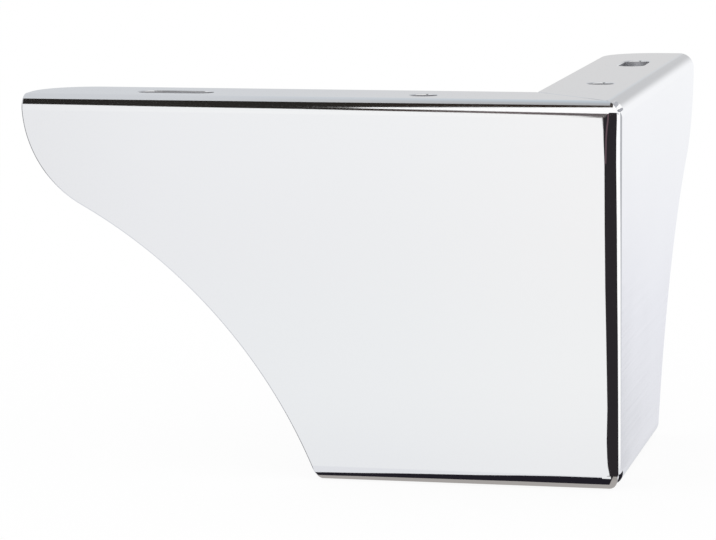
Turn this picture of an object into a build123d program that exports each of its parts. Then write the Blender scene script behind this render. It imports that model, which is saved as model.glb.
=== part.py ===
import os
from math import acos, atan2, cos, hypot, sin

from build123d import *

os.makedirs("parts", exist_ok=True)

# Driving dimensions, in millimetres
wing_length = 150.0  # outer corner to the tip of each wing
leg_height = 95.0  # floor to the mounting face
foot_length = 76.0  # outer corner to the end of the foot
foot_taper = 1.4  # how far the end of the foot slants back through the fold
sheet = 2.0  # thickness of the steel sheet
inner_bend = 2.0  # inside radius of the top folds and of the vertical fold
foot_inner_bend = 1.0  # inside radius of the foot folds
flange_width = 24.0  # outer face to the free edge of the top flange
foot_width = 24.0  # outer face to the free edge of the foot flange
tip_radius = 29.0  # convex end of the wing's S-curve
sweep_radius = 134.0  # concave part of the wing's S-curve
flange_corner = 15.0  # rounding of the top flange at the tip
foot_corner = 10.0  # rounding of the foot flange at its end
screw_hole = 7.0  # diameter of the round screw hole in each top flange
slot_length = 19.5  # overall length of the screw slot in each top flange
slot_width = 7.0  # width of that slot
hole_from_corner = 50.3  # outer corner to the round hole
slot_from_corner = 113.3  # outer corner to the middle of the slot
hole_from_face = 12.0  # outer face to the line of the hole and the slot
mitre_gap = 0.3  # open seam between the flanges of the two wings
top_relief = 2.6  # height of the relief notch at the top of the vertical fold
foot_relief = 3.6  # height of the relief notch at its foot
relief_depth = 2.2  # outer face of the second wing to the inner side of each notch
relief_length = 8.0  # outer corner to the far end of each notch, along the second wing

# Sizes that follow from them
outer_bend = inner_bend + sheet
foot_outer_bend = foot_inner_bend + sheet
corner_x = wing_length / 2
corner_y = -wing_length / 2
seam_length = 4 * max(flange_width, foot_width)

# Planes of the first wing: u runs from the outer corner to the tip, v runs inwards
wing_wall = Plane(origin=(corner_x, corner_y, 0), x_dir=(-1, 0, 0), z_dir=(0, 1, 0))
tip_end = Plane(origin=(corner_x - wing_length, corner_y, 0), x_dir=(0, 1, 0), z_dir=(1, 0, 0))
floor_down = Plane(origin=(corner_x, corner_y, 0), x_dir=(-1, 0, 0), z_dir=(0, 0, -1))
top_down = floor_down.offset(-leg_height)
mitre = Plane(origin=(corner_x, corner_y, 0), x_dir=(0, 0, 1), z_dir=(-1, -1, 0))

# The S-curve: the tip arc leaves the top flange straight down and runs into the sweep arc.
# The sweep arc's centre is one sweep radius from the foot and both radii from the tip arc's centre.
tip_start = (wing_length, leg_height - sheet)
foot_end = (foot_length, sheet)
tip_centre = (wing_length - tip_radius, leg_height - sheet)
rise = tip_centre[1] - foot_end[1]
run = tip_centre[0] - foot_end[0]
both_radii = tip_radius + sweep_radius
span = hypot(run, rise)
turn = acos((sweep_radius**2 + span**2 - both_radii**2) / (2 * sweep_radius * span))
heading = atan2(rise, run) - turn
sweep_centre = (foot_end[0] + sweep_radius * cos(heading), foot_end[1] + sweep_radius * sin(heading))
tip_share = tip_radius / both_radii
inflection = (
    tip_centre[0] + (sweep_centre[0] - tip_centre[0]) * tip_share,
    tip_centre[1] + (sweep_centre[1] - tip_centre[1]) * tip_share,
)

with BuildPart() as folded_leg:
    # One wing as a folded strip: top flange, wall and foot flange, with true concentric folds
    with BuildSketch(tip_end):
        with BuildLine():
            FilletPolyline(
                (flange_width, leg_height),
                (0, leg_height),
                (0, 0),
                (foot_width, 0),
                radius=(outer_bend, foot_outer_bend),
            )
            offset(amount=sheet, side=Side.LEFT)
        make_face()
    extrude(amount=wing_length)

    # The wing's outline: square across the flanges, S-curved between them
    with BuildSketch(wing_wall):
        with BuildLine():
            tip_arc = TangentArc(tip_start, inflection, tangent=(0, -1))
            sweep_arc = TangentArc(tip_arc @ 1, foot_end, tangent=tip_arc % 1)
            Polyline(
                foot_end,
                (foot_length, 0),
                (0, 0),
                (0, leg_height),
                (wing_length, leg_height),
                tip_start,
            )
        make_face()
    extrude(amount=max(flange_width, foot_width), mode=Mode.INTERSECT)

    # Rounded free corners of the top flange and the foot flange
    flange_edges = folded_leg.edges().filter_by(Axis.Z).group_by(Axis.Z)
    fillet(flange_edges[-1].group_by(Axis.X)[0].sort_by(Axis.Y)[-1], flange_corner)
    fillet(flange_edges[0].group_by(Axis.X)[0].sort_by(Axis.Y)[-1], foot_corner)

    # The end of the foot slants back as the cut edge runs round the fold
    with BuildSketch(wing_wall):
        with BuildLine():
            Polyline(
                foot_end,
                (foot_length - foot_taper, 0),
                (foot_length, 0),
                close=True,
            )
        make_face()
    extrude(amount=foot_width, mode=Mode.SUBTRACT)

    # Screw hole and screw slot in the top flange
    with BuildSketch(top_down):
        with Locations((hole_from_corner, hole_from_face)):
            Circle(screw_hole / 2)
        with Locations((slot_from_corner, hole_from_face)):
            SlotOverall(slot_length, slot_width)
    extrude(amount=sheet, mode=Mode.SUBTRACT)

    # The second wing mirrors the first across the mitre
    split(bisect_by=mitre)
    mirror(about=mitre)

    # The vertical fold: rounded outside between the notches and filled to its radius inside
    with BuildSketch(floor_down.offset(-foot_relief)):
        Rectangle(outer_bend, outer_bend, align=Align.MIN)
        with Locations((outer_bend, outer_bend)):
            Circle(outer_bend, mode=Mode.SUBTRACT)
    extrude(amount=foot_relief + top_relief - leg_height, mode=Mode.SUBTRACT)
    with BuildSketch(floor_down.offset(-foot_relief)):
        with Locations((sheet, sheet)):
            Rectangle(inner_bend, inner_bend, align=Align.MIN)
        with Locations((outer_bend, outer_bend)):
            Circle(inner_bend, mode=Mode.SUBTRACT)
    extrude(amount=foot_relief + outer_bend - leg_height)

    # Open mitre seams between the flanges, and the relief notches beside the vertical fold
    for face, depth in ((top_down, top_relief), (floor_down, -foot_relief)):
        with BuildSketch(face):
            Rectangle(seam_length, mitre_gap, rotation=45)
            with BuildLine():
                Polyline(
                    (0, 0),
                    (relief_depth, relief_depth),
                    (relief_depth, relief_length),
                    (0, relief_length),
                    close=True,
                )
            make_face()
        extrude(amount=depth, mode=Mode.SUBTRACT)

folded_leg.part.label = "folded_leg"
export_step(folded_leg.part, "parts/folded_leg.step")
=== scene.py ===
import math
from collections import namedtuple

import bmesh
import bpy
from mathutils import Matrix, Vector


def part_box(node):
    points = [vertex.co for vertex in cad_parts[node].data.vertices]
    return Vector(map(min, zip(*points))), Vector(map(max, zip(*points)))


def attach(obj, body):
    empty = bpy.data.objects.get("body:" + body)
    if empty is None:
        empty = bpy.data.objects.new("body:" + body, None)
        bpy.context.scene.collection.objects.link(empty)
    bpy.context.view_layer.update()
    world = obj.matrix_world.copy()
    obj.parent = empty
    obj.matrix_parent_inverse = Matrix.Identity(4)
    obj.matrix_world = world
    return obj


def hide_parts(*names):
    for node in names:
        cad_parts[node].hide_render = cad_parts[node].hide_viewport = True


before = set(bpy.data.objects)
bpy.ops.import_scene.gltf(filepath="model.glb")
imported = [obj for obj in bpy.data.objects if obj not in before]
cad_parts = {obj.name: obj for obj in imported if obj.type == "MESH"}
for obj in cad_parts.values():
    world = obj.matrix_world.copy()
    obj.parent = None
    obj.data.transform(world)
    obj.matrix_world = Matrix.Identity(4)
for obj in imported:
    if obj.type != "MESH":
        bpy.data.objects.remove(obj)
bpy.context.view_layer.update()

# Sizes of the leg in millimetres; the overall ones come from the frame
MM = 0.001
node_low, node_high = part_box("folded_leg")
outer_corner = Vector((node_high.x, node_low.y, node_low.z))
wing_length = (node_high.x - node_low.x) / MM
leg_height = (node_high.z - node_low.z) / MM
foot_length = 76.0
foot_taper = 1.4  # how far the end of the foot slants back through the fold
sheet = 2.0
outer_bend = 4.0  # outside radius of the top folds and of the vertical fold
foot_bend = 3.0  # outside radius of the foot folds
flange_width = 24.0
foot_width = 24.0
tip_radius = 29.0  # convex end of the wing's S-curve
sweep_radius = 134.0  # concave part of the wing's S-curve
flange_corner = 15.0
foot_corner = 10.0
screw_hole = 7.0
slot_length = 19.5
slot_width = 7.0
hole_from_corner = 50.3
slot_from_corner = 113.3
hole_from_face = 12.0
mitre_gap = 0.3
top_relief = 2.6  # height of the relief notch at the top of the vertical fold
foot_relief = 3.6  # height of the relief notch at its foot
relief_depth = 2.2
relief_length = 8.0
edge_round = 0.3  # rounding of the cut edges
sharp_reach = 11.0  # cut edges nearer the corner than this stay sharp
sharp_angle = math.radians(50)
run_in = 0.4  # the foot's fold begins to turn this far above its tangent, as a pressed fold does

# Levels that follow from them
top_tangent = leg_height - outer_bend  # where the wall runs into the top folds
notch_level = leg_height - top_relief  # the lower side of the upper notch

# Flats ground over the ends of the seams, and the end of the lower notch, which show in the normals only.
# Each reaches from the corner along the wing, less with height where it leans, between two heights;
# it begins some way back from the wing's face, and slopes up or down by some degrees.
Flat = namedtuple("Flat", "reach lean low high back slope")
at_face = -1.0
slack = 0.1  # how far a flat's limits stand off the faces that they take in
ground_flats = (
    Flat(reach=1.85, lean=0.0, low=notch_level, high=leg_height + slack, back=at_face, slope=28.0),
    Flat(reach=2.6, lean=0.0, low=93.9, high=leg_height + slack, back=at_face, slope=44.0),
    Flat(reach=2.3, lean=0.0, low=-slack, high=foot_relief, back=relief_length - slack, slope=-20.0),
    Flat(reach=2.95, lean=0.45, low=-slack, high=foot_relief, back=at_face, slope=-42.0),
)

# How finely the round parts are divided, and how near two points count as one
fold_steps = 12
wall_rows = 96
corner_steps = 24
hole_steps = 48
edge_steps = 3
touch = 1e-4

# The S-curve of the wing's cut edge: a tip arc that runs into a sweep arc, as distance and height
tip_centre = Vector((wing_length - tip_radius, leg_height - sheet))
foot_end = Vector((foot_length, sheet))
to_tip = tip_centre - foot_end
both_radii = tip_radius + sweep_radius
turn = math.acos(
    (sweep_radius**2 + to_tip.length_squared - both_radii**2) / (2 * sweep_radius * to_tip.length)
)
heading = math.atan2(to_tip.y, to_tip.x) - turn
sweep_centre = foot_end + sweep_radius * Vector((math.cos(heading), math.sin(heading)))
inflection = tip_centre.lerp(sweep_centre, tip_radius / both_radii)


def wing_end(height):
    """Distance from the outer corner to the wing's cut edge at a height."""
    height = min(max(height, sheet), leg_height - sheet)
    if height > inflection.y:
        return tip_centre.x + math.sqrt(tip_radius**2 - (tip_centre.y - height) ** 2)
    return sweep_centre.x - math.sqrt(sweep_radius**2 - (height - sweep_centre.y) ** 2)


def with_corners(faces):
    """Faces together with their edges and vertices, as the cutting operator takes them."""
    return list(dict.fromkeys(part for face in faces for part in (face, *face.edges, *face.verts)))


def with_ends(edges):
    """Edges together with their vertices, as the spinning operator takes them."""
    return list(dict.fromkeys(part for edge in edges for part in (edge, *edge.verts)))


def only(kind, parts):
    """The parts of one kind, such as vertices, among what an operator made."""
    return [part for part in parts if isinstance(part, kind)]


def cut(bm, faces, point, normal, remove=True):
    """Cuts faces along a plane, and takes away what lies on the normal's side."""
    made = bmesh.ops.bisect_plane(
        bm, geom=with_corners(faces), plane_co=point, plane_no=normal, dist=touch / 10
    )
    if remove:
        pieces = only(bmesh.types.BMFace, made["geom"])
        side = Vector(normal)
        spare = [f for f in pieces if (f.calc_center_median() - Vector(point)).dot(side) > 0]
        bmesh.ops.delete(bm, geom=spare, context="FACES")


def cut_across(bm, faces, distance, remove=False):
    """Cuts a wing's faces square across, at a distance from the corner."""
    cut(bm, faces, (-distance, 0, 0), (1, 0, 0), remove)


def faces_between(bm, low, high):
    """Faces whose middle lies between two heights."""
    return [f for f in bm.faces if low < f.calc_center_median().z < high]


def outer_faces(bm, low, high):
    """Faces between two heights that are near the wing's outer face."""
    return [f for f in faces_between(bm, low, high) if min(v.co.y for v in f.verts) < relief_depth]


def near_corner(faces):
    """Those faces that lie within the length of the relief notches."""
    return [f for f in faces if f.calc_center_median().x > -relief_length]


def joined(bm, vertices):
    """One edge from each vertex to the next."""
    return [bm.edges.new(pair) for pair in zip(vertices, vertices[1:])]


def flange(bm, height, bend, length, width, rounding, openings):
    """A flat flange beside a fold, with its tip rounded, its mitre cut and its openings left free."""
    before = set(bm.edges)
    seam = mitre_gap / math.sqrt(2)
    near = [
        bm.verts.new((-x, y, height))
        for x, y in (
            (width + seam, width),
            (bend + seam, bend),
            (length, bend),
            (length, width - rounding),
        )
    ]
    joined(bm, near)
    arc = bmesh.ops.spin(
        bm,
        geom=[near[-1]],
        cent=(rounding - length, width - rounding, height),
        axis=(0, 0, 1),
        angle=-math.pi / 2,
        steps=corner_steps,
    )
    far = only(bmesh.types.BMVert, arc["geom_last"])[0]
    joined(bm, [far, near[0]])
    for from_corner, diameter, overall in openings:
        middle = Vector((-from_corner, hole_from_face, height))
        turned = Matrix.Rotation(math.pi / hole_steps, 4, "Z")
        ring = bmesh.ops.create_circle(
            bm,
            cap_ends=False,
            radius=diameter / 2,
            segments=hole_steps,
            matrix=Matrix.Translation(middle) @ turned,
        )["verts"]
        for vert in ring:
            vert.co.x += math.copysign((overall - diameter) / 2, vert.co.x - middle.x)
    outline = [edge for edge in bm.edges if edge not in before]
    bmesh.ops.triangle_fill(bm, use_beauty=True, edges=outline, normal=(0, 0, 1))


def wing_skin(notched):
    """Outer skin of one wing, in millimetres: the corner at the origin, the wing along -X, inwards +Y."""
    bm = bmesh.new()

    # The section, from the top flange round both folds to the foot flange
    start = bm.verts.new((0, outer_bend, leg_height))
    quarter = {"axis": (1, 0, 0), "angle": math.pi / 2, "steps": fold_steps}
    fold = bmesh.ops.spin(bm, geom=[start], cent=(0, outer_bend, top_tangent), **quarter)
    wall_top = only(bmesh.types.BMVert, fold["geom_last"])[0]
    wall_foot = bm.verts.new((0, 0, foot_bend))
    wall_line = joined(bm, [wall_top, bm.verts.new((0, 0, foot_relief)), wall_foot])[:1]
    bmesh.ops.spin(bm, geom=[wall_foot], cent=(0, foot_bend, foot_bend), **quarter)
    bmesh.ops.subdivide_edges(bm, edges=wall_line, cuts=wall_rows - 1)

    # The section drawn out along the wing, as far as its cut edge
    drawn = bmesh.ops.extrude_edge_only(bm, edges=bm.edges[:])["geom"]
    for vert in only(bmesh.types.BMVert, drawn):
        vert.co.x = -wing_end(vert.co.z)

    # Beyond the levels of the relief notches both folds run on to the mitre; one wing has the notches
    for level in (foot_relief, notch_level):
        row = [
            f
            for f in bm.faces
            if min(v.co.z for v in f.verts) < level < max(v.co.z for v in f.verts)
        ]
        cut_across(bm, row, relief_length)
        cut(bm, near_corner(bm.faces), (0, 0, level), (0, 0, 1), remove=False)
    seam = -mitre_gap / math.sqrt(2)
    for ends in ((notch_level, leg_height), (0, foot_relief)):
        if notched:
            cut_across(bm, outer_faces(bm, *ends), relief_length)
            cut(bm, near_corner(faces_between(bm, *ends)), (0, relief_depth, 0), (0, -1, 0))
        cut(bm, faces_between(bm, *ends), (seam, 0, 0), (1, 1, 0))

    # The other wing is ground flat beside them, over the end of the seam
    if not notched:
        cut_across(bm, faces_between(bm, foot_bend, foot_relief), outer_bend)
        for flat in ground_flats:
            if flat.back == at_face:
                outer = outer_faces(bm, flat.low, flat.high)
                cut(bm, outer, (-flat.reach, 0, flat.low), (1, 0, -flat.lean), remove=False)

    # Between the notches the wing ends where the vertical fold begins
    cut_across(bm, faces_between(bm, top_tangent, notch_level), outer_bend)
    cut(bm, faces_between(bm, top_tangent, notch_level), (0, 0, leg_height), (1, 0, -1))
    cut_across(bm, faces_between(bm, foot_relief, top_tangent), outer_bend, remove=True)

    openings = (
        (hole_from_corner, screw_hole, screw_hole),
        (slot_from_corner, slot_width, slot_length),
    )
    flange(bm, leg_height, outer_bend, wing_length, flange_width, flange_corner, openings)
    flange(bm, 0, foot_bend, foot_length, foot_width, foot_corner, ())
    return bm


def vertical_fold(bm):
    """Rounds the leg's corner from one wing to the other, up and down to the relief notches."""
    begins = Vector((-outer_bend, 0))
    line = [
        edge
        for edge in bm.edges
        if all((v.co.xy - begins).length < touch and v.co.z > foot_relief - touch for v in edge.verts)
    ]
    before = set(bm.faces)
    bmesh.ops.spin(
        bm,
        geom=with_ends(line),
        cent=(-outer_bend, outer_bend, 0),
        axis=(0, 0, 1),
        angle=math.pi / 2,
        steps=fold_steps,
    )

    # It runs on past the top folds' tangent and ends on them
    rim = dict.fromkeys(
        edge
        for face in bm.faces
        if face not in before
        for edge in face.edges
        if all(abs(v.co.z - top_tangent) < touch for v in edge.verts)
    )
    before = set(bm.faces)
    drawn = bmesh.ops.extrude_edge_only(bm, edges=list(rim))["geom"]
    moved = only(bmesh.types.BMVert, drawn)
    bmesh.ops.translate(bm, vec=(0, 0, outer_bend - top_relief), verts=moved)
    for normal in ((-1, 0, 1), (0, 1, 1)):
        cut(bm, [f for f in bm.faces if f not in before], (0, 0, leg_height), normal)


def give_thickness(bm):
    """Thickens the skin inwards and rounds its cut edges, apart from the small ones round the notches."""
    bmesh.ops.solidify(bm, geom=bm.faces[:], thickness=sheet)
    for vert in bm.verts:
        reach = foot_length - foot_taper * (1 - vert.co.z / sheet)
        if vert.co.z < sheet:
            vert.co.x = max(vert.co.x, -reach)
            vert.co.y = min(vert.co.y, reach)
    soles = [face for face in bm.faces if all(abs(v.co.z) < touch for v in face.verts)]
    bmesh.ops.dissolve_faces(bm, faces=soles)
    cut_edges = [
        edge
        for edge in bm.edges
        if edge.calc_face_angle() > sharp_angle
        and any(max(-v.co.x, v.co.y) > sharp_reach for v in edge.verts)
    ]
    made = bmesh.ops.bevel(
        bm,
        geom=cut_edges,
        offset=edge_round,
        offset_type="OFFSET",
        affect="EDGES",
        segments=edge_steps,
        profile=0.5,
        material=-1,
        clamp_overlap=False,
    )
    keep_normals(bm, set(made["faces"]))


def sheet_normal(point, first, zone):
    """Direction from the nearest fold's axis to a point of the sheet; on a ground flat, the flat's own."""
    if isinstance(zone, float):
        return Vector((0, -math.cos(zone), math.sin(zone)))
    upright = zone == "wall"
    bend = foot_bend + run_in if zone == "foot" else outer_bend
    core = Vector(
        (
            point.x if first and not upright else min(point.x, -bend),
            max(point.y, bend) if first or upright else point.y,
            point.z if upright else min(max(point.z, foot_bend + run_in), top_tangent),
        )
    )
    return (point - core).normalized()


def zone_of(middle):
    """Which fold a face belongs to; on a ground flat, how steeply it looks up."""
    for flat in ground_flats:
        across = -middle.x < flat.reach - flat.lean * (middle.z - flat.low)
        along = flat.back < middle.y < relief_length + slack
        if across and along and flat.low < middle.z < flat.high:
            return math.radians(flat.slope)
    beside = max(-middle.x, middle.y)
    if middle.z < (foot_bend if beside < outer_bend else foot_relief):
        return "foot"
    if middle.z < leg_height - max(min(beside, outer_bend), top_relief):
        return "wall"
    return "top"


def keep_normals(bm, rounded):
    """Notes each corner's normal: exact on flats and folds, and along the rim on cut faces."""
    bm.normal_update()
    noted = bm.loops.layers.float_vector.new("sheet_normal")
    same_side, same_rim = 0.7, 0.8
    sides = {}
    for face in bm.faces:
        middle = face.calc_center_median()
        side = (-middle.x > middle.y, zone_of(middle))
        if face not in rounded and abs(face.normal.dot(sheet_normal(middle, *side))) > same_side:
            sides[face] = side
    for face in bm.faces:
        for corner in face.loops:
            if face in sides:
                normal = sheet_normal(corner.vert.co, *sides[face])
                corner[noted] = normal * math.copysign(1, normal.dot(face.normal))
            elif face not in rounded:
                rims = [f.normal for f in corner.vert.link_faces if f not in sides and f not in rounded]
                alike = [normal for normal in rims if normal.dot(face.normal) > same_rim]
                corner[noted] = sum(alike, Vector()).normalized()


def folded_sheet():
    """The whole leg, in metres and in its place."""
    whole = bmesh.new()
    swapped = Matrix(((0, -1, 0, 0), (-1, 0, 0, 0), (0, 0, 1, 0), (0, 0, 0, 1)))
    for notched, place in ((False, Matrix.Identity(4)), (True, swapped)):
        wing = wing_skin(notched)
        bmesh.ops.transform(wing, matrix=place, verts=wing.verts)
        scratch = bpy.data.meshes.new("wing")
        wing.to_mesh(scratch)
        wing.free()
        whole.from_mesh(scratch)
        bpy.data.meshes.remove(scratch)
        if not notched:
            vertical_fold(whole)
    bmesh.ops.remove_doubles(whole, verts=whole.verts, dist=10 * touch)
    bmesh.ops.recalc_face_normals(whole, faces=whole.faces)
    front = min(whole.faces, key=lambda face: face.calc_center_median().y)
    if front.normal.y > 0:
        bmesh.ops.reverse_faces(whole, faces=whole.faces)
    give_thickness(whole)
    bmesh.ops.scale(whole, vec=(MM, MM, MM), verts=whole.verts)
    bmesh.ops.translate(whole, vec=outer_corner, verts=whole.verts)
    return whole


def new_object(name, bm):
    """A scene object from a finished bmesh, smoothly shaded."""
    mesh = bpy.data.meshes.new(name)
    bm.to_mesh(mesh)
    bm.free()
    mesh.shade_smooth()
    noted = mesh.attributes.get("sheet_normal")
    if noted:
        mesh.normals_split_custom_set([corner.vector[:] for corner in noted.data])
    made = bpy.data.objects.new(name, mesh)
    bpy.context.scene.collection.objects.link(made)
    return made


leg = new_object("polished_leg", folded_sheet())
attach(leg, "root")
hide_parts("folded_leg")


def linear(hex_colour):
    """An sRGB hex value as linear red, green, blue and alpha."""
    channels = [int(hex_colour[i : i + 2], 16) / 255 for i in (1, 3, 5)]
    return [c / 12.92 if c <= 0.04045 else ((c + 0.055) / 1.055) ** 2.4 for c in channels] + [1.0]


def add(tree, kind, settings=(), **inputs):
    """One node with its settings; an input is a value or another node's output."""
    node = tree.nodes.new(kind)
    for key, value in dict(settings).items():
        setattr(node, key, value)
    for key, value in inputs.items():
        socket = node.inputs[int(key[2:]) if key.startswith("in") else key.replace("_", " ")]
        if isinstance(value, bpy.types.NodeSocket):
            tree.links.new(value, socket)
        else:
            socket.default_value = value
    return node


def new_material(name):
    """An empty node material and its output node."""
    made = bpy.data.materials.new(name)
    made.use_nodes = True
    made.node_tree.nodes.clear()
    return made, made.node_tree, made.node_tree.nodes.new("ShaderNodeOutputMaterial")


def chrome_plate():
    """Chrome over polished steel: a clear mirror, softer along the polishing lines and faintly wavy."""
    made, tree, output = new_material("bright_chrome_plate_on_polished_steel")
    place = add(tree, "ShaderNodeTexCoord").outputs["Object"]
    times = {"operation": "MULTIPLY"}
    near = {"operation": "COMPARE"}

    # Polishing lines along the wings, drawn 0.6 mm apart; the real ones are too fine for any pixel
    line_run, line_gap = 60 * MM, 0.6 * MM
    stretched = (1 / line_run, 1 / line_run, 1 / line_gap)
    along = add(tree, "ShaderNodeMapping", Vector=place, Scale=stretched)
    lines = add(tree, "ShaderNodeTexNoise", Vector=along.outputs[0], Scale=1.0, Detail=3.0)

    # A thin haze in patches of about 35 mm, as a wiping cloth leaves it
    haze_patch = 35 * MM
    clearest, softest = 0.04, 0.085
    haze = add(tree, "ShaderNodeTexNoise", Vector=place, Scale=1 / haze_patch, Detail=2.0)
    both = add(tree, "ShaderNodeMath", times, in0=lines.outputs[0], in1=haze.outputs[0])
    reach = {"in1": 0.1, "in2": 0.45, "in3": clearest, "in4": softest}
    rough = add(tree, "ShaderNodeMapRange", in0=both.outputs[0], **reach)

    # The sheet waves by a few thousandths of a millimetre, which bends the reflected lines a little
    wave_length, wave_height = 14 * MM, 0.004 * MM
    waves = add(tree, "ShaderNodeTexNoise", Vector=place, Scale=1 / wave_length, Detail=0.0)
    relief = add(tree, "ShaderNodeBump", Strength=1.0, Distance=wave_height, Height=waves.outputs[0])

    # Inside the screw holes, the slots and the seam the plating is thin and unpolished, so duller; their
    # grey tone is painted shade.
    # Their walls lie in a strip along each flange, just below its top face.
    dull_roughness = 0.35
    strip, strip_half = hole_from_face * MM, 3.7 * MM
    depth, depth_half = (leg_height - 1.15) * MM, 0.9 * MM
    moved = {"Location": (outer_corner.x, -outer_corner.y, 0), "Scale": (-1, 1, 1)}
    inwards = add(tree, "ShaderNodeMapping", Vector=place, **moved)
    axes = add(tree, "ShaderNodeSeparateXYZ", in0=inwards.outputs[0])
    nearest = add(
        tree,
        "ShaderNodeMath",
        {"operation": "MINIMUM"},
        in0=axes.outputs["X"],
        in1=axes.outputs["Y"],
    )
    across = add(tree, "ShaderNodeMath", near, in0=nearest.outputs[0], in1=strip, in2=strip_half)
    within = add(tree, "ShaderNodeMath", near, in0=axes.outputs["Z"], in1=depth, in2=depth_half)
    dull_and_shaded = add(tree, "ShaderNodeMath", times, in0=across.outputs[0], in1=within.outputs[0])
    # Painted shade: the walls in the strip take a grey tone in place of the chrome's own
    tone = add(
        tree,
        "ShaderNodeMix",
        {"data_type": "RGBA"},
        in0=dull_and_shaded.outputs[0],
        in6=linear("#F6F6F7"),
        in7=linear("#BEBEC1"),
    )
    soft = add(
        tree,
        "ShaderNodeMath",
        {"operation": "MULTIPLY_ADD"},
        in0=dull_and_shaded.outputs[0],
        in1=dull_roughness,
        in2=rough.outputs[0],
    )
    shader = add(
        tree,
        "ShaderNodeBsdfPrincipled",
        Base_Color=tone.outputs[2],
        Metallic=1.0,
        Roughness=soft.outputs[0],
        Normal=relief.outputs[0],
    )
    tree.links.new(shader.outputs[0], output.inputs["Surface"])
    return made


leg.data.materials.append(chrome_plate())


def matt_white_paper():
    """Matt white paper: even and without gloss; to the camera it is burnt out, but for a faint shadow."""
    made, tree, output = new_material("matt_white_background_paper")
    burnt_share = 0.9
    lit = add(tree, "ShaderNodeBsdfDiffuse", Color=linear("#FFFFFF"))
    burnt = add(tree, "ShaderNodeEmission", Color=linear("#FFFFFF"), Strength=1.0)
    path = add(tree, "ShaderNodeLightPath")
    share = add(
        tree,
        "ShaderNodeMath",
        {"operation": "MULTIPLY"},
        in0=path.outputs["Is Camera Ray"],
        in1=burnt_share,
    )
    shown = add(
        tree, "ShaderNodeMixShader", in0=share.outputs[0], in1=lit.outputs[0], in2=burnt.outputs[0]
    )
    tree.links.new(shown.outputs[0], output.inputs["Surface"])
    return made


floor_reach = 6.0  # in metres, from its middle to each side
floor_gap = 0.05 * MM
floor_mesh = bmesh.new()
bmesh.ops.create_grid(floor_mesh, x_segments=1, y_segments=1, size=floor_reach)
bmesh.ops.translate(floor_mesh, vec=(0, 0, -floor_gap), verts=floor_mesh.verts)
floor = new_object("studio_floor", floor_mesh)
floor.data.materials.append(matt_white_paper())
floor.visible_glossy = False

# The camera stands at the photo's viewing angle, in front and to the right
camera_data = bpy.data.cameras.new("camera")
camera = bpy.data.objects.new("camera", camera_data)
bpy.context.scene.collection.objects.link(camera)
bpy.context.scene.camera = camera
camera_place = Vector((189.19, -893.48, 171.81)) * MM
yaw, pitch, roll = -0.21492, 0.14102, -0.00668
camera_data.sensor_fit = "HORIZONTAL"
camera_data.sensor_width = 36.0
camera_data.lens = 173.57
forward = Vector(
    (math.sin(yaw) * math.cos(pitch), math.cos(yaw) * math.cos(pitch), -math.sin(pitch))
)
sideways = Vector((math.cos(yaw), -math.sin(yaw), 0))
above = sideways.cross(forward)
right = math.cos(roll) * sideways + math.sin(roll) * above
up = math.cos(roll) * above - math.sin(roll) * sideways
turned = Matrix((right, up, -forward)).transposed().to_4x4()
camera.matrix_world = Matrix.Translation(camera_place) @ turned


def ramp(tree, position, stops):
    """A colour that follows a position from stop to stop."""
    node = add(tree, "ShaderNodeValToRGB", Fac=position)
    for spot, _ in stops[1:-1]:
        node.color_ramp.elements.new(spot)
    for element, (spot, hex_colour) in zip(node.color_ramp.elements, stops):
        element.position = spot
        element.color = linear(hex_colour)
    return node.outputs[0]


def studio_card(name, bm, stops, strength=1.0):
    """A card that shows only in the leg's reflections; its tone may change along X, in metres."""
    card = new_object(name, bm)
    made, tree, output = new_material(name + "_paper")
    glow = add(tree, "ShaderNodeEmission", Strength=strength)
    if len(stops) > 1:
        first, last = stops[0][0], stops[-1][0]
        place = add(tree, "ShaderNodeTexCoord").outputs["Object"]
        axes = add(tree, "ShaderNodeSeparateXYZ", in0=place)
        spot = add(tree, "ShaderNodeMapRange", in0=axes.outputs["X"], in1=first, in2=last)
        shares = [((x - first) / (last - first), hex_colour) for x, hex_colour in stops]
        tree.links.new(ramp(tree, spot.outputs[0], shares), glow.inputs["Color"])
    else:
        glow.inputs["Color"].default_value = linear(stops[0][1])
    tree.links.new(glow.outputs[0], output.inputs["Surface"])
    card.data.materials.append(made)
    for ray in ("camera", "diffuse", "transmission", "shadow", "volume_scatter"):
        setattr(card, "visible_" + ray, False)


# Heights of the folds that the lying cards bend round, and distances of the cards, in metres.
# The dark cards of the vertical fold and the foot stand close, so that little else mirrors them.
card_steps = 12
top_level = 0.093
foot_level = 0.002
card_far = 3.0
card_far_before, card_far_behind = 2.97, 3.03
card_close = 0.015
card_close_before = 0.0148


def bent_card(rows, level=None, distance=card_far):
    """A card bent round the leg's corner: rows of a place along the bend's axis and two angles, joined up.

    With a level the axis lies along X at that height and angles run up from the front.
    Without one it stands upright, places are heights and angles run from the front to the right.
    """
    bm = bmesh.new()
    grid = bmesh.ops.create_grid(bm, x_segments=card_steps, y_segments=len(rows) - 1, size=1.0)["verts"]
    grid.sort(key=lambda vert: (round(vert.co.y, 3), vert.co.x))
    for index, vert in enumerate(grid):
        place, first, last = rows[index // (card_steps + 1)]
        angle = math.radians(first + (last - first) * (index % (card_steps + 1)) / card_steps)
        forth = outer_corner.y - distance * math.cos(angle)
        across = distance * math.sin(angle)
        standing = (outer_corner.x + across, forth, place)
        vert.co = standing if level is None else (place, forth, level + across)
    return bm


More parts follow.
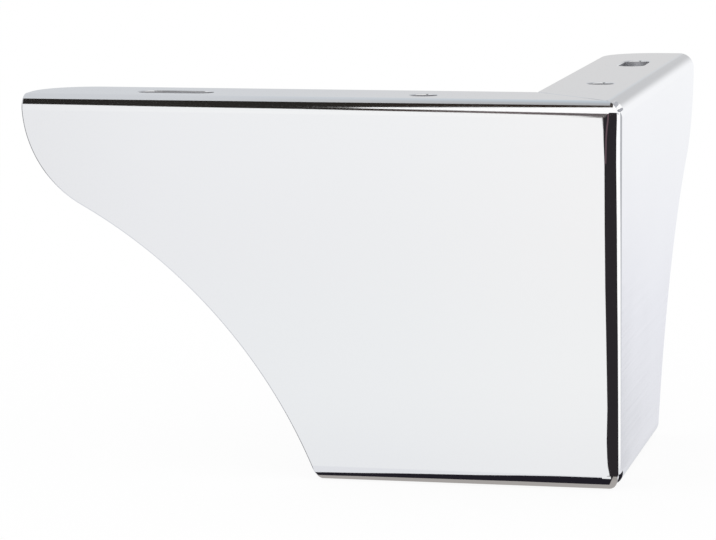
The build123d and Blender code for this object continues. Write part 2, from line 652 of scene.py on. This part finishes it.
# Cards that the top fold of the left wing mirrors: a dark flag with a softbox before it
upper_flag_rows = (
    (-1.3, 47, 85),
    (-0.97, 39, 86),
    (-0.86, 34, 87.5),
    (-0.69, 31, 88.5),
    (-0.63, 36, 89),
    (-0.48, 36, 92),
    (-0.3, 36, 93),
)
lower_flag_rows = (
    (-0.69, 30.5, 37),
    (-0.62, 26, 38),
    (-0.55, 23, 38),
    (-0.48, 19.5, 38),
    (-0.41, 13, 38),
    (-0.383, 9, 38),
    (-0.365, -2, 38),
    (-0.3, -5, 38),
)
lower_flag_tones = (
    (-0.69, "#282624"),
    (-0.58, "#4B4340"),
    (-0.48, "#635757"),
    (-0.41, "#665E60"),
    (-0.36, "#534C4C"),
)
overhead_rows = (
    (-0.635, 42, 50),
    (-0.55, 39, 57),
    (-0.48, 34, 64.5),
    (-0.41, 31, 69.5),
    (-0.3, 25, 80),
)
plain_white = ((0, "#FFFFFF"),)
softbox_strength = 1.08
studio_card(
    "upper_flag",
    bent_card(upper_flag_rows, top_level),
    ((-0.69, "#282624"), (-0.45, "#322A25")),
)
studio_card("lower_flag", bent_card(lower_flag_rows, top_level), lower_flag_tones)
studio_card(
    "overhead_softbox",
    bent_card(overhead_rows, top_level, card_far_before),
    plain_white,
    softbox_strength,
)

# Cards that the vertical fold mirrors: a dark flag, a mauve edge on it, a white card and a grey strip
right_flag_rows = (
    (0.0915, -24.5, 98.7),
    (0.0894, -24.4, 98.7),
    (0.0875, -23.8, 97.6),
    (0.0843, -21.9, 94.1),
    (0.0784, -14.4, 93.5),
    (0.0632, -10.9, 103.3),
    (0.0478, -4.5, 110.6),
    (0.0325, 6.8, 120.4),
    (0.0173, 17.1, 127.7),
    (0.0091, 12.2, 130.8),
    (0.005, 17.1, 132.3),
    (0.0028, 22.7, 132.8),
    (0.0008, 36.4, 133.8),
    (-0.0012, 48.9, 134.3),
)
right_edge_rows = (
    (0.0915, 11.5, 23.8),
    (0.089, 6.6, 20.1),
    (0.0872, -1.8, 11.5),
    (0.0844, -7.7, 4.2),
    (0.0784, -10.0, 0.6),
)
right_softbox_rows = (
    (-0.1, 85, 131),
    (-0.253, 80, 133),
    (-0.322, 85, 142),
    (-0.392, 90, 152),
    (-0.6, 110, 166),
)
back_strip_rows = (
    (-0.15, 128, 170),
    (-0.253, 131, 170.5),
    (-0.322, 140, 171),
    (-0.392, 149, 171.7),
    (-0.6, 169, 172),
)
studio_card("right_flag", bent_card(right_flag_rows, distance=card_close), ((0, "#2C292C"),))
studio_card(
    "right_flag_edge",
    bent_card(right_edge_rows, distance=card_close_before),
    ((0, "#635157"),),
)
studio_card(
    "right_softbox",
    bent_card(right_softbox_rows, distance=card_far_behind),
    plain_white,
    softbox_strength,
)
studio_card("back_strip", bent_card(back_strip_rows), ((0, "#B7B9BE"),))

# Cards that the foot fold and the cut edges mirror: a dark card close in front of the foot and a grey card
# below the floor, both painted shade standing in for the floor's shade along and under the foot, and a
# grey wall
table_edge_rows = (
    (-0.0124, -92.6, -69.9),
    (-0.0014, -91.1, -57.0),
    (0.0069, -87.5, -51.5),
    (0.0171, -85.5, -41.1),
    (0.0273, -83.4, -35.0),
    (0.0373, -81.4, -29.5),
    (0.0475, -78.8, -20.0),
    (0.0577, -79.8, -15.0),
    (0.0741, -80.9, -15.0),
)
grey_table_rows = ((-1.6, -150, -60), (0.6, -150, -60))
left_card_rows = ((-1.7, -45, -135), (1.4, -45, -135))
# Painted shade: a dark card close in front of the foot, below the floor, mirrored as the shade along the
# foot
studio_card("table_edge", bent_card(table_edge_rows, foot_level, card_close), ((0, "#222027"),))
# Painted shade: a grey card below the floor, mirrored as the shaded floor under the leg
studio_card("grey_table", bent_card(grey_table_rows, foot_level, card_far_behind), ((0, "#AAA6A3"),))
studio_card("left_card", bent_card(left_card_rows), ((0, "#8E8F92"),))

# Tones of the studio by the height that a mirrored ray looks at, from low to high
lowest, highest = -0.4, 1.0
front_stops = (
    (-0.26, "#EBECEF"),
    (-0.196, "#F3F4F5"),
    (-0.18, "#F8F9F9"),
    (-0.157, "#F8F9F9"),
    (-0.133, "#F9F9F9"),
    (-0.11, "#FBFBFB"),
    (-0.05, "#FFFFFE"),
)
back_right_stops = (
    (-0.26, "#D6D8DD"),
    (-0.194, "#E6E7EC"),
    (-0.153, "#EEEFF5"),
    (-0.107, "#F6F7FA"),
    (-0.08, "#FAFBFD"),
    (0.03, "#FAFBFD"),
    (0.07, "#F1F2F4"),
    (0.09, "#E9EAEC"),
    (0.12, "#D7D8DA"),
    (0.14, "#CACBCD"),
    (0.3, "#C2C4C8"),
)
back_left_stops = (
    (0.0, "#DBDBDB"),
    (0.09, "#D8D8D9"),
    (0.13, "#D1D5D9"),
    (0.17, "#CDD4DA"),
    (0.5, "#C9D2D9"),
    (0.64, "#C4CED5"),
    (0.82, "#BCC4CC"),
    (0.96, "#B3B5B7"),
    (1.0, "#B0B0B2"),
)
front_side_stops = ((0, "#F2F3F5"), (0.2, "#F7F8FA"), (0.67, "#FBFCFD"), (1, "#FFFFFF"))


def studio_world():
    """The studio as the chrome sees it: white in front, with a back wall that darkens upwards."""
    world = bpy.data.worlds.new("studio")
    world.use_nodes = True
    tree = world.node_tree
    tree.nodes.clear()
    colours = {"data_type": "RGBA"}
    direction = add(tree, "ShaderNodeTexCoord").outputs["Generated"]
    axes = add(tree, "ShaderNodeSeparateXYZ", in0=direction)

    # How far a direction's part along one axis has come between two values
    share = {
        name: add(tree, "ShaderNodeMapRange", in0=axes.outputs[axis], in1=start, in2=end).outputs[0]
        for name, axis, start, end in (
            ("height", "Z", lowest, highest),
            ("side", "X", -0.3, -0.15),
            ("rightwards", "X", -0.11, -0.06),
            ("leftwards", "X", -0.155, -0.26),
            ("behind", "Y", -0.15, 0.02),
        )
    }
    front_tone, right_tone, left_tone = (
        ramp(tree, share["height"], [((z - lowest) / (highest - lowest), tone) for z, tone in stops])
        for stops in (front_stops, back_right_stops, back_left_stops)
    )
    side_tone = ramp(tree, share["side"], front_side_stops)
    shaded = {"data_type": "RGBA", "blend_type": "MULTIPLY"}
    front = add(tree, "ShaderNodeMix", shaded, in0=1.0, in6=front_tone, in7=side_tone).outputs[2]
    far_left = linear("#D2D5D9")
    left = add(tree, "ShaderNodeMix", colours, in0=share["leftwards"], in6=left_tone, in7=far_left)
    left = left.outputs[2]
    back = add(tree, "ShaderNodeMix", colours, in0=share["rightwards"], in6=left, in7=right_tone)
    tent = add(tree, "ShaderNodeMix", colours, in0=share["behind"], in6=front, in7=back.outputs[2])
    shown = add(
        tree,
        "ShaderNodeMix",
        colours,
        in0=add(tree, "ShaderNodeLightPath").outputs["Is Glossy Ray"],
        in6=linear("#FFFFFF"),
        in7=tent.outputs[2],
    )
    background = add(tree, "ShaderNodeBackground", Color=shown.outputs[2], Strength=1.0)
    surface = tree.nodes.new("ShaderNodeOutputWorld")
    tree.links.new(background.outputs[0], surface.inputs["Surface"])
    return world


bpy.context.scene.world = studio_world()
bpy.context.scene.view_settings.view_transform = "Standard"
